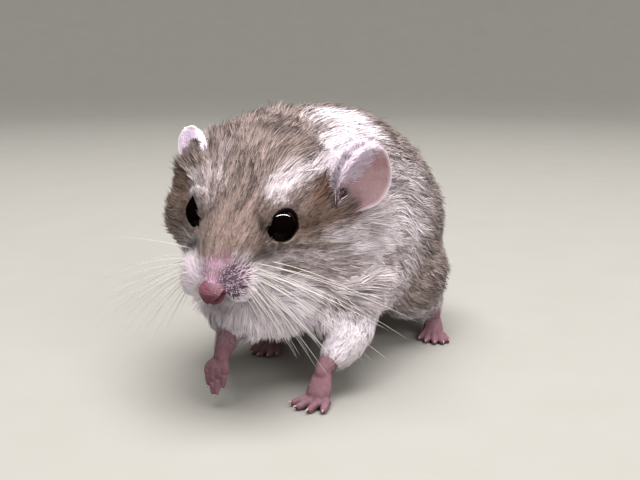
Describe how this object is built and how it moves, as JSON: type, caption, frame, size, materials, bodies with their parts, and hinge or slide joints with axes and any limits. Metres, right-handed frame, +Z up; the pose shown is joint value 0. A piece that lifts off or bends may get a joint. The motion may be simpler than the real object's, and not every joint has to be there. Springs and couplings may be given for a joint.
{
  "type": "fat-tailed gerbil",
  "caption": "Life-size fat-tailed gerbil in mid step, one forepaw lifted, head low and turned a little, club tail lying on the floor behind.",
  "frame": {"origin": "on the floor, under the middle of the box that holds the body, whiskers and tail", "axes": "+X to the animal's left, -Y ahead of it, +Z up from the floor"},
  "size_m": [0.0614, 0.1184, 0.0526],
  "materials": {
    "coat": "dense soft fur, grey-brown with buff bands and dark tips",
    "pale_coat": "dense soft fur, white to the root",
    "paw_skin": "thin bare skin, dusky pink",
    "ear_skin": "thin translucent skin, pink, with a fine down",
    "nose_skin": "moist bare skin, reddish pink",
    "tail_skin": "bare ringed skin, pink, with a few short hairs",
    "eye": "wet and glossy, nearly black"
  },
  "bodies": {
    "root": {"head": "coat", "neck": "coat", "torso": "coat", "rump": "coat", "lower_jaw": "pale_coat", "whisker_pad_left": "pale_coat", "whisker_pad_right": "pale_coat", "foreleg_left": "pale_coat", "foreleg_right": "pale_coat", "hindleg_left": "pale_coat", "hindleg_right": "pale_coat", "forepaw_left": "paw_skin", "forepaw_right": "paw_skin", "hindpaw_left": "paw_skin", "hindpaw_right": "paw_skin", "ear_left": "ear_skin", "ear_right": "ear_skin", "nose": "nose_skin", "tail": "tail_skin", "eye_left": "eye", "eye_right": "eye"}
  },
  "joints": []
}
